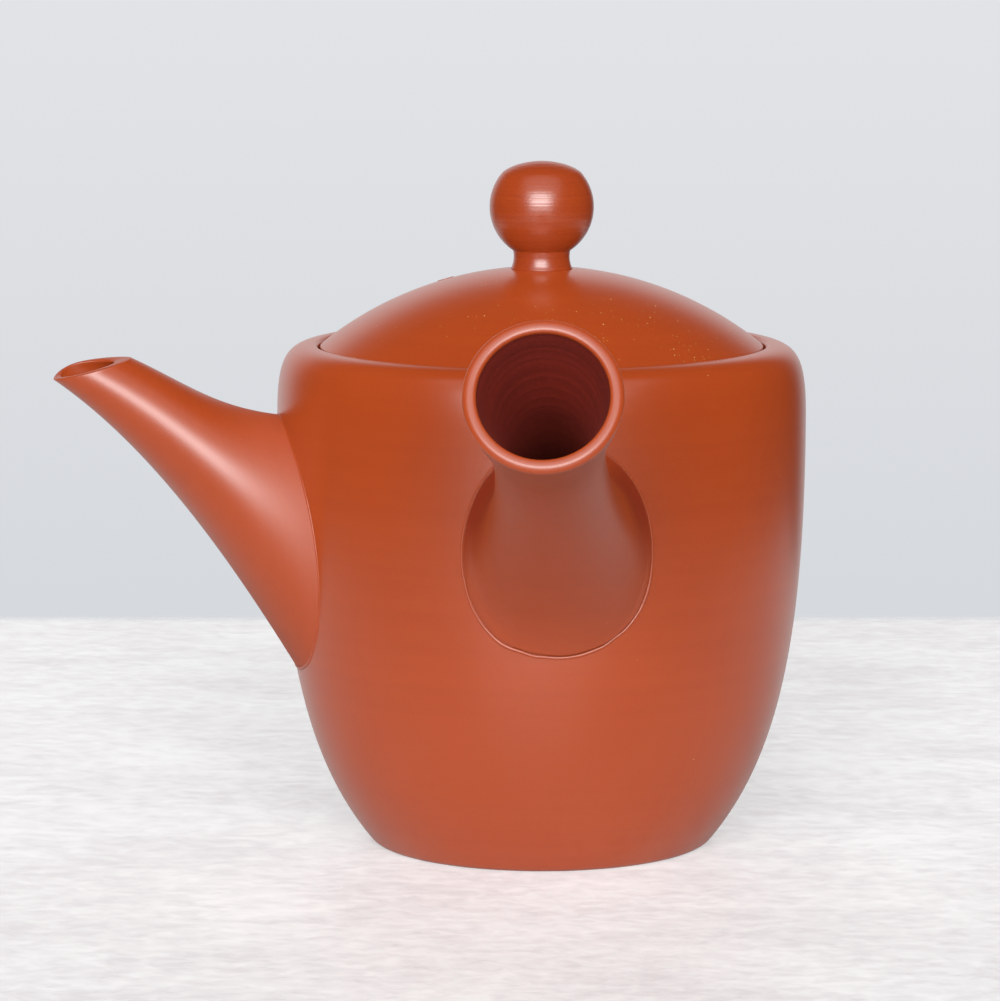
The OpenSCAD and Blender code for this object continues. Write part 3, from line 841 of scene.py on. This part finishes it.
def limb_piece(name, limb, outer_rings, inner_rings, bore_depth, seed, clay, bore_clay, edge_r, bead_out,
               crease):
    """Limb with a rounded lip, shallow rings in its bore, and a soft edge and a bead of slip at its root."""
    turn = turns(SIDES)
    outer = limb.skin(turn, 0, edge_r * (1 + EDGE_WAVER * waver(turn, seed)), outer_rings)
    inner = ringed(limb.skin(turn, 1, SLIP, inner_rings), bore_depth, BORE_RING_PITCH, seed + 1)
    inner[0] = limb.point(turn, limb.lip_share(turn), 1)
    away, aside = seam_frame(outer[-1])
    edge = [outer[-1] - away * edge_r * EDGE_DEPTH * math.sin(a) - aside * edge_r * (1 - math.cos(a))
            for a in np.linspace(0, TURN / 4, EDGE_RINGS + 1)[1:]]
    lip = limb.lip(outer[0], inner[0], LIP_RINGS)
    rings = np.concatenate([outer, edge, inner[::-1], lip])
    steps = np.linalg.norm(np.diff(rings, axis=0), axis=2).mean(1)
    rise = ramp(np.linspace(0, 1, len(outer)), ROOT_FROM, 1)
    root = np.concatenate([rise ** 2 * (3 - 2 * rise), np.ones(len(edge)), np.zeros(len(inner) + len(lip))])
    mesh = loft_mesh(name, rings, True, {"along": np.concatenate([[0], np.cumsum(steps)]), "root": root})
    # Painted shade: through this attribute, the hollows beside the root get a darker base colour
    painted_shades = np.zeros(rings.shape[:2])
    painted_shades[:len(outer)] = crease * painted_shade_marks(outer, turn)
    point_values(mesh, "crease", painted_shades)
    mesh.materials.append(clay)
    mesh.materials.append(bore_clay)
    bore_from = len(outer) + len(edge)
    bore_to = bore_from + len(inner)
    for face in mesh.polygons:
        row = face.index // SIDES
        face.material_index = int(bore_from <= row < bore_to)
    return with_bead(new_piece(name, mesh), outer[-1], away, aside, seed + 2, clay, bead_out)


def painted_shade_marks(outer, turn):
    """Marks painted shade for the hollows on both sides of a root, above its middle."""
    near = np.linalg.norm(outer - outer[-1], axis=2) / PAINTED_SHADE_WIDE
    return np.clip(PAINTED_SHADE_REACH - near, 0, 1) * (
        ramp(np.abs(np.sin(turn)), *PAINTED_SHADE_SIDE) * ramp(np.cos(turn), *PAINTED_SHADE_UP))


def with_bead(piece, seam, away, aside, seed, clay, bead_out):
    """Adds the bead of slip that is left round a luted root, thickest below it."""
    turn = turns(SIDES)
    height = np.hypot(seam[:, 0], seam[:, 1]) - body_radius(seam[:, 2])
    size = BEAD_TOP + (1 - BEAD_TOP) * (1 - aside[:, 2]) / 2
    reach = (bead_out * size * (1 + BEAD_PLACE_WAVER * waver(turn, seed, BEAD_WAVES)))[:, None]
    middle = seam - away * (height + BEAD_SINK)[:, None] + aside * reach
    radius = (BEAD_R * size * (1 + BEAD_SIZE_WAVER * waver(turn, seed + 1)))[:, None]
    rings = [middle + radius * (math.cos(a) * aside + math.sin(a) * away) for a in turns(BEAD_SIDES)]
    bead = loft_mesh(piece.name + "_bead", rings, True, {"along": np.zeros(BEAD_SIDES)})
    bead.materials.append(clay)
    return with_mesh(piece, bead)


def spout_limb():
    """Spout: its lines run from the slanting lip down to the wall."""
    lip_mid = np.array([BODY_R + SPOUT_REACH, BODY_H - SPOUT_DROP])
    lip_half = LIP_L / 2 * np.array([math.cos(LIP_SLOPE), -math.sin(LIP_SLOPE)])
    root_top, root_low = (np.array([body_radius(z), z]) for z in (SPOUT_TOP_Z, SPOUT_LOW_Z))
    long_front = np.linalg.norm(root_low - lip_mid)

    def line(lip, root, slopes):
        pull = np.linalg.norm(root - lip_mid) / 3
        from_lip, from_root = (np.array([math.cos(a), math.sin(a)]) for a in map(math.radians, slopes))
        return [[lip, lip - pull * from_lip, root + pull * from_root, root]]

    widths = np.linspace(LIP_W, SPOUT_ROOT_W, num=4)
    return Limb((0, 0), math.pi, math.pi, line(lip_mid - lip_half, root_top, BACK_SLOPES),
                line(lip_mid + lip_half, root_low, FRONT_SLOPES), [widths / 2],
                (LIP_BACK_T, LIP_FRONT_T, SPOUT_T), LIP_RISE, (0, LIP_PROUD / long_front))


def handle_limb():
    """Handle: a tube with a flared open end and a foot that spreads on the wall."""
    wall_r = body_radius(HANDLE_Z)
    waist_s = HANDLE_L - WAIST_BACK
    end_in_r = END_R - END_TAPER * (END_R - WAIST_R)
    foot_in_r = SPREAD_HALF - SPREAD_TAPER * (SPREAD_HALF - WAIST_R)

    def on_axis(s, up):
        return np.array([s * math.cos(HANDLE_RISE) - up * math.sin(HANDLE_RISE),
                         HANDLE_Z + s * math.sin(HANDLE_RISE) + up * math.cos(HANDLE_RISE)])

    def line(side, foot_z, foot_slope):
        foot = np.array([body_radius(foot_z) - wall_r, foot_z])
        slope = math.radians(foot_slope)
        waist = on_axis(waist_s, side * WAIST_R)
        return [
            [on_axis(HANDLE_L, side * END_R), on_axis(HANDLE_L - END_PULL * WAIST_BACK, side * end_in_r),
             on_axis(waist_s + WAIST_PULLS[0] * WAIST_BACK, side * WAIST_R), waist],
            [waist, on_axis(waist_s - WAIST_PULLS[1] * waist_s, side * WAIST_R),
             foot + SPREAD_FLARE * np.array([math.cos(slope), math.sin(slope)]), foot],
        ]

    foot = wall_r * np.array([math.cos(HANDLE_FOOT_AT), math.sin(HANDLE_FOOT_AT)])
    return Limb(foot, HANDLE_HEADING, HANDLE_FOOT_AT, line(1, HANDLE_Z + SPREAD_UP, SPREAD_SLOPES[0]),
                line(-1, HANDLE_Z - SPREAD_DOWN, SPREAD_SLOPES[1]),
                [[END_R, end_in_r, WAIST_R, WAIST_R], [WAIST_R, WAIST_R, foot_in_r, SPREAD_HALF]],
                (HANDLE_T, HANDLE_T, HANDLE_T), HANDLE_LIP_RISE, (0, 0))


def make_spout():
    return limb_piece("teapot_spout", spout_limb(), outer_rings=110, inner_rings=70, bore_depth=0.01 * MM,
                      seed=3, clay=SPOUT_CLAY, bore_clay=SPOUT_CLAY, edge_r=0.15 * MM, bead_out=0.05 * MM,
                      crease=0)


def make_handle():
    # The bore takes the darkened bore clay: painted shade
    return limb_piece("teapot_handle", handle_limb(), outer_rings=130, inner_rings=160, bore_depth=0.035 * MM,
                      seed=11, clay=HANDLE_CLAY, bore_clay=SHADED_BORE, edge_r=0.4 * MM, bead_out=0.5 * MM, crease=1)


# Clay: its refraction and dry diffusion, and patterns whose scales are in cells to the metre

CLAY_IOR = 1.7
CLAY_DRY = 0.5
STREAK_PITCH = 2.4 * MM
CLOUD_SCALE = 45.0
GRAIN_SCALE = 2600.0
CLOUD_WEIGHT, STREAK_WEIGHT, GRAIN_WEIGHT = 0.4, 0.35, 0.25
MOTTLE_SPAN = (0.3, 0.7)
SPECK_SCALE = 1600.0
SPECK_SIZES = (0.06, 0.19)
SPECK_STRENGTHS = (0.3, 0.95)
SPECK_SIDE, SPECK_SIDE_SHARES = (-20 * MM, 5 * MM), (0.1, 1.0)
SPECK_CLUSTER, SPECK_CLUSTER_SHARES = (0.4, 0.7), (0.05, 1.0)
LINE_DRIFT = 18.0
TOOTH_SCALE = 3200.0
TOOTH_HEIGHT = 0.3


def srgb(red, green, blue):
    """Colour given in screen values from 0 to 255, as Blender's linear colour."""
    def linear(value):
        value /= 255
        return value / 12.92 if value <= 0.04045 else ((value + 0.055) / 1.055) ** 2.4
    return linear(red), linear(green), linear(blue), 1.0


def mixed(tree, factor, first, second):
    """Output of a colour Mix node."""
    return place(tree, "ShaderNodeMix", {0: factor, 6: first, 7: second}, data_type="RGBA").outputs[2]


def spread(tree, value, span=(0.0, 1.0), onto=(0.0, 1.0), **settings):
    """A value over one span spread onto another, and held at its ends."""
    inputs = {"Value": value, "From Min": span[0], "From Max": span[1], "To Min": onto[0], "To Max": onto[1]}
    return place(tree, "ShaderNodeMapRange", inputs, **settings).outputs[0]


def tone_group():
    """Slow mottling of the clay, from the firing and from the wheel."""
    tree, given, result = new_tree("clay_tone", "ShaderNodeTree",
                                   {"Place": "Vector", "Along": "Float", "Pitch": "Float",
                                    "Clay": "Color", "Deep clay": "Color"},
                                   {"Color": "Color"})
    streak_z = reckon(tree, "DIVIDE", given["Along"], given["Pitch"])
    streak_spot = place(tree, "ShaderNodeCombineXYZ", {"Z": streak_z}).outputs[0]
    clouds, streaks, grain = (
        place(tree, "ShaderNodeTexNoise", {"Vector": spot, "Scale": scale, "Detail": detail}).outputs[0]
        for spot, scale, detail in ((given["Place"], CLOUD_SCALE, 3.0), (streak_spot, 1.0, 2.0),
                                    (given["Place"], GRAIN_SCALE, 2.0)))
    mottle = reckon(tree, "MULTIPLY", grain, GRAIN_WEIGHT)
    for layer, weight in ((streaks, STREAK_WEIGHT), (clouds, CLOUD_WEIGHT)):
        mottle = reckon(tree, "MULTIPLY_ADD", layer, weight, mottle)
    sharp = spread(tree, mottle, MOTTLE_SPAN)
    tree.links.new(mixed(tree, sharp, given["Deep clay"], given["Clay"]), result.inputs["Color"])
    return tree


def speck_group():
    """Sparse pale specks of sand in the clay, in loose clusters, and fewer towards the spout's side."""
    tree, given, result = new_tree("pale_specks", "ShaderNodeTree",
                                   {"Place": "Vector", "Color": "Color", "Speck": "Color", "Share": "Float"},
                                   {"Color": "Color"})
    cells = place(tree, "ShaderNodeTexVoronoi", {"Vector": given["Place"], "Scale": SPECK_SCALE}).outputs
    lot = place(tree, "ShaderNodeSeparateColor", {0: cells["Color"]}).outputs
    patches = place(tree, "ShaderNodeTexNoise", {"Vector": given["Place"], "Scale": CLOUD_SCALE}).outputs[0]
    across = place(tree, "ShaderNodeSeparateXYZ", {0: given["Place"]}).outputs["X"]
    side = spread(tree, across, SPECK_SIDE, SPECK_SIDE_SHARES)
    cluster = spread(tree, patches, SPECK_CLUSTER, SPECK_CLUSTER_SHARES)
    share = reckon(tree, "MULTIPLY", reckon(tree, "MULTIPLY", given["Share"], side), cluster)
    chosen = reckon(tree, "LESS_THAN", lot[0], share)
    size = spread(tree, lot[1], onto=SPECK_SIZES)
    inside = reckon(tree, "LESS_THAN", cells["Distance"], size)
    strength = spread(tree, lot[2], onto=SPECK_STRENGTHS)
    mask = reckon(tree, "MULTIPLY", reckon(tree, "MULTIPLY", chosen, inside), strength)
    tree.links.new(mixed(tree, mask, given["Color"], given["Speck"]), result.inputs["Color"])
    return tree


def line_group():
    """Fine lines that the tool leaves round a turned piece, as a height from 0 to 1."""
    tree, given, result = new_tree("turning_lines", "ShaderNodeTree",
                                   {"Place": "Vector", "Along": "Float", "Pitch": "Float"},
                                   {"Height": "Float"})
    drift = place(tree, "ShaderNodeVectorMath", {0: given["Place"], 1: 3 * (LINE_DRIFT,)},
                  operation="MULTIPLY").outputs[0]
    line_z = reckon(tree, "DIVIDE", given["Along"], given["Pitch"])
    step = place(tree, "ShaderNodeCombineXYZ", {"Z": line_z}).outputs[0]
    spot = place(tree, "ShaderNodeVectorMath", {0: drift, 1: step}, operation="ADD").outputs[0]
    lines = place(tree, "ShaderNodeTexNoise", {"Vector": spot, "Scale": 1.0, "Detail": 3.0,
                                               "Roughness": 0.6}).outputs[0]
    tree.links.new(lines, result.inputs["Height"])
    return tree


def clay(name, colours, roughness, pitch, depth, specks, streak=STREAK_PITCH, root_roughness=None):
    """Fired clay: its lit and deep tones, its roughness, the pitch and depth of its turning lines, its share
    of specks, the pitch of its colour streaks, and its roughness towards a root where that differs."""
    material = bpy.data.materials.new(name)
    material.use_nodes = True
    tree = material.node_tree
    shader = tree.nodes["Principled BSDF"]
    spot = place(tree, "ShaderNodeTexCoord").outputs["Object"]
    way = place(tree, "ShaderNodeAttribute", attribute_name="along").outputs["Fac"]
    tone = place(tree, "ShaderNodeGroup", node_tree=TONE)
    dots = place(tree, "ShaderNodeGroup", node_tree=SPECKS)
    lines = place(tree, "ShaderNodeGroup", node_tree=LINES)
    for group in (tone, lines):
        tree.links.new(spot, group.inputs["Place"])
        tree.links.new(way, group.inputs["Along"])
    tone.inputs["Clay"].default_value = colours[0]
    tone.inputs["Deep clay"].default_value = colours[1]
    for group, width in ((tone, streak), (lines, pitch)):
        group.inputs["Pitch"].default_value = width
    tree.links.new(spot, dots.inputs["Place"])
    tree.links.new(tone.outputs["Color"], dots.inputs["Color"])
    dots.inputs["Speck"].default_value = SPECK
    dots.inputs["Share"].default_value = specks
    # Painted shade: this attribute darkens the base colour in the hollows beside a root
    crease = place(tree, "ShaderNodeAttribute", attribute_name="crease").outputs["Fac"]
    tree.links.new(mixed(tree, crease, dots.outputs["Color"], PAINTED_HOLLOW_SHADE), shader.inputs["Base Color"])
    shader.inputs["Roughness"].default_value = roughness
    if root_roughness:
        root = place(tree, "ShaderNodeAttribute", attribute_name="root").outputs["Fac"]
        faded = spread(tree, root, onto=(roughness, root_roughness))
        tree.links.new(faded, shader.inputs["Roughness"])
    shader.inputs["Diffuse Roughness"].default_value = CLAY_DRY
    tooth = place(tree, "ShaderNodeTexNoise", {"Vector": spot, "Scale": TOOTH_SCALE,
                                               "Detail": 2.0}).outputs[0]
    height = reckon(tree, "MULTIPLY_ADD", tooth, TOOTH_HEIGHT, lines.outputs["Height"])
    bump = place(tree, "ShaderNodeBump", {"Height": height, "Distance": depth, "Strength": 1.0})
    tree.links.new(bump.outputs[0], shader.inputs["Normal"])
    shader.inputs["IOR"].default_value = CLAY_IOR
    return material


# Stage and light: board lifts as (front, far), and lamps as bearing, height, distance, size and radiance

TABLE_BACK = 0.222
TABLE_SIDE = 0.27
TABLE_FRONT = 0.7
TABLE_T = 0.03
BOARD_FADE = 8 * MM
BOARD_SPAN = (-0.1, 0.1)
BOARD_LIFT = (0.49, 0.58)
BOARD_SHEEN = (0.0, 0.45)
BOARD_GRAIN = (230.0, 360.0, 1.0)
BOARD_PATCHES = (26.0, 50.0, 1.0)
BOARD_ROUGHNESS = 0.5
BOARD_CHALK = {"Scale": 1.0, "Detail": 5.0, "Roughness": 0.65, "Distortion": 0.6}
GRAIN_CHALK, PATCH_CHALK = 0.55, 0.45
LIME_SPAN = (0.4, 0.6)
BOARD_TONES = (srgb(184, 181, 181), srgb(206, 205, 204))
BOARD_LIT_TONES = (srgb(238, 235, 237), srgb(255, 255, 255))
BACKDROP_TURN = math.radians(8)
BACKDROP_TONES = ((0.42, srgb(214, 217, 221)), (0.48, srgb(226, 227, 231)))
BACKDROP_SHINE = srgb(240, 240, 242)
BACKDROP_SIDE = (0.72, 0.94)
BACKDROP_TOP = (0.3, 0.64)
ROOM = srgb(46, 46, 48)
LAMPS = {
    "front_box": (-3, 18, 3, (2.2, 1.2), 10.4),
    "front_wide": (-4, 20, 3.2, (3.4, 1.9), 2.0),
    "front_high": (0, 50, 3.2, (4.6, 3.6), 0.75),
}


def add_camera():
    data = bpy.data.cameras.new("camera")
    data.lens = CAMERA_LENS
    camera = bpy.data.objects.new("camera", data)
    camera.location = CAMERA_AT
    camera.rotation_euler = CAMERA_TURN
    scene.collection.objects.link(camera)
    scene.camera = camera


def add_table():
    """Pale table top, whose far edge lies square to the view."""
    turn = CAMERA_TURN[2]
    ahead = np.array([-math.sin(turn), math.cos(turn), 0])
    right = np.array([math.cos(turn), math.sin(turn), 0])
    corners = [(-TABLE_SIDE, -TABLE_FRONT), (TABLE_SIDE, -TABLE_FRONT),
               (TABLE_SIDE, TABLE_BACK), (-TABLE_SIDE, TABLE_BACK)]
    top = np.array([x * right + y * ahead for x, y in corners])
    middle = top.mean(0)
    rings = [middle + 0 * top, top, top - (0, 0, TABLE_T), middle + 0 * top - (0, 0, TABLE_T)]
    mesh = loft_mesh("table_top", rings, False, {})
    mesh.shade_flat()
    mesh.materials.append(limed_board(turn))
    table = new_piece("table_top", mesh)


def limed_board(turn):
    """Chalky board. The camera sees it paler than the light on it makes it, and its far edge fades out."""
    material = bpy.data.materials.new("limed_board")
    material.use_nodes = True
    tree = material.node_tree
    shader = tree.nodes["Principled BSDF"]

    def mapping(vector, **values):
        inputs = {"Vector": vector, **values}
        return place(tree, "ShaderNodeMapping", inputs, vector_type="POINT").outputs[0]

    spot = mapping(place(tree, "ShaderNodeTexCoord").outputs["Object"], Rotation=(0, 0, -turn))
    depth = place(tree, "ShaderNodeSeparateXYZ", {0: spot}).outputs["Y"]
    grain, patches = (
        place(tree, "ShaderNodeTexNoise", {"Vector": mapping(spot, Scale=stretch), **BOARD_CHALK}).outputs[0]
        for stretch in (BOARD_GRAIN, BOARD_PATCHES))
    chalk = reckon(tree, "MULTIPLY_ADD", grain, GRAIN_CHALK, reckon(tree, "MULTIPLY", patches, PATCH_CHALK))
    lime = spread(tree, chalk, span=LIME_SPAN)
    tree.links.new(mixed(tree, lime, *BOARD_TONES), shader.inputs["Base Color"])
    tree.links.new(mixed(tree, lime, *BOARD_LIT_TONES), shader.inputs["Emission Color"])
    ray = place(tree, "ShaderNodeLightPath").outputs
    pale, sheen = (spread(tree, depth, BOARD_SPAN, shares) for shares in (BOARD_LIFT, BOARD_SHEEN))
    lift = reckon(tree, "MAXIMUM", reckon(tree, "MULTIPLY", ray["Is Camera Ray"], pale),
                  reckon(tree, "MULTIPLY", ray["Is Glossy Ray"], sheen))
    tree.links.new(lift, shader.inputs["Emission Strength"])
    faded = spread(tree, depth, (TABLE_BACK - BOARD_FADE, TABLE_BACK), (1.0, 0.0))
    tree.links.new(faded, shader.inputs["Alpha"])
    shader.inputs["Roughness"].default_value = BOARD_ROUGHNESS
    return material


def add_world():
    """Dim room with a pale backdrop behind the pot. The camera sees the backdrop all round."""
    world = bpy.data.worlds.new("room")
    world.use_nodes = True
    scene.world = world
    tree = world.node_tree
    turn = CAMERA_TURN[2] + BACKDROP_TURN
    way = place(tree, "ShaderNodeTexCoord").outputs["Generated"]
    height = place(tree, "ShaderNodeSeparateXYZ", {0: way}).outputs["Z"]
    ahead = place(tree, "ShaderNodeVectorMath", {0: way, 1: (-math.sin(turn), math.cos(turn), 0)},
                  operation="DOT_PRODUCT").outputs["Value"]
    ray = place(tree, "ShaderNodeLightPath").outputs
    behind = spread(tree, ahead, BACKDROP_SIDE, interpolation_type="SMOOTHSTEP")
    low = spread(tree, height, BACKDROP_TOP, (1.0, 0.0), interpolation_type="SMOOTHSTEP")
    share = reckon(tree, "MAXIMUM", reckon(tree, "MULTIPLY", behind, low), ray["Is Camera Ray"])
    shades = place(tree, "ShaderNodeValToRGB", {0: reckon(tree, "MULTIPLY_ADD", height, 0.5, 0.5)})
    for stop, (position, tone) in zip(shades.color_ramp.elements, BACKDROP_TONES):
        stop.position = position
        stop.color = tone
    pale = mixed(tree, ray["Is Glossy Ray"], shades.outputs[0], BACKDROP_SHINE)
    tree.links.new(mixed(tree, share, ROOM, pale), tree.nodes["Background"].inputs["Color"])
    tree.nodes["Background"].inputs["Strength"].default_value = 1.0


def add_lamp(name, bearing, height, distance, size, radiance):
    """Soft box that faces the pot. Its bearing runs from the camera's side to the right, in degrees, and its
    height is above level, in degrees too."""
    side = math.radians(bearing) + CAMERA_TURN[2] - math.pi / 2
    lift = math.radians(height)
    way = Vector((math.cos(side) * math.cos(lift), math.sin(side) * math.cos(lift), math.sin(lift)))
    data = bpy.data.lights.new(name, "AREA")
    data.shape = "RECTANGLE"
    data.size, data.size_y = size
    data.energy = radiance * math.pi * size[0] * size[1]
    lamp = bpy.data.objects.new(name, data)
    lamp.location = Vector((0, 0, BODY_H / 2)) + distance * way
    lamp.rotation_euler = way.to_track_quat("Z", "Y").to_euler()
    scene.collection.objects.link(lamp)


# The stage, the clays and the pieces

scene.view_settings.view_transform = "Standard"
add_camera()
add_table()
add_world()
for lamp_name, lamp_values in LAMPS.items():
    add_lamp(lamp_name, *lamp_values)

TONE = tone_group()
SPECKS = speck_group()
LINES = line_group()
WHEEL = wheel_tree()
SPECK = srgb(235, 190, 110)
LIT = (srgb(170, 69, 25), srgb(160, 62, 22))
# The knob's second tone is much deeper, and its fine colour streaks lay it in rings: painted shade for the
# dark turning lines
TURNED = (LIT[0], srgb(142, 50, 20))
DULL = (srgb(150, 60, 30), srgb(132, 48, 24))
DEEP_SHADE_TONES = (srgb(128, 36, 22), srgb(90, 20, 13))
# Painted shade for the hollows beside the handle's root
PAINTED_HOLLOW_SHADE = srgb(134, 44, 22)
BURNISHED = clay("burnished_clay", LIT, roughness=0.28, pitch=0.7 * MM, depth=0.004 * MM, specks=0.01)
LID_CLAY = clay("lid_clay", LIT, roughness=0.28, pitch=0.7 * MM, depth=0.004 * MM, specks=0.9)
KNOB_CLAY = clay("knob_clay", TURNED, roughness=0.3, pitch=0.45 * MM, depth=0.035 * MM, specks=0.01,
                 streak=0.5 * MM)
SPOUT_CLAY = clay("spout_clay", LIT, roughness=0.39, pitch=0.9 * MM, depth=0.003 * MM, specks=0.01,
                  root_roughness=0.66)
HANDLE_CLAY = clay("handle_clay", LIT, roughness=0.4, pitch=0.9 * MM, depth=0.003 * MM, specks=0.01)
RAW = clay("raw_clay", DULL, roughness=0.6, pitch=0.8 * MM, depth=0.02 * MM, specks=0.004)
# The bore's own unburnished clay, made far darker than the raw clay as painted shade for the deep handle bore
# and the vent
SHADED_BORE = clay("bore_clay", DEEP_SHADE_TONES, roughness=0.55, pitch=0.8 * MM, depth=0.03 * MM, specks=0.001)

PIECES = {
    "body": (make_body(), "pot"),
    "strainer": (make_strainer(), "pot"),
    "spout": (make_spout(), "pot"),
    "handle": (make_handle(), "pot"),
    "lid": (make_lid(), "lid"),
    "knob": (make_knob(), "lid"),
}
for node, (piece, carrier) in PIECES.items():
    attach(piece, carrier)
    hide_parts(node)

bpy.context.view_layer.update()
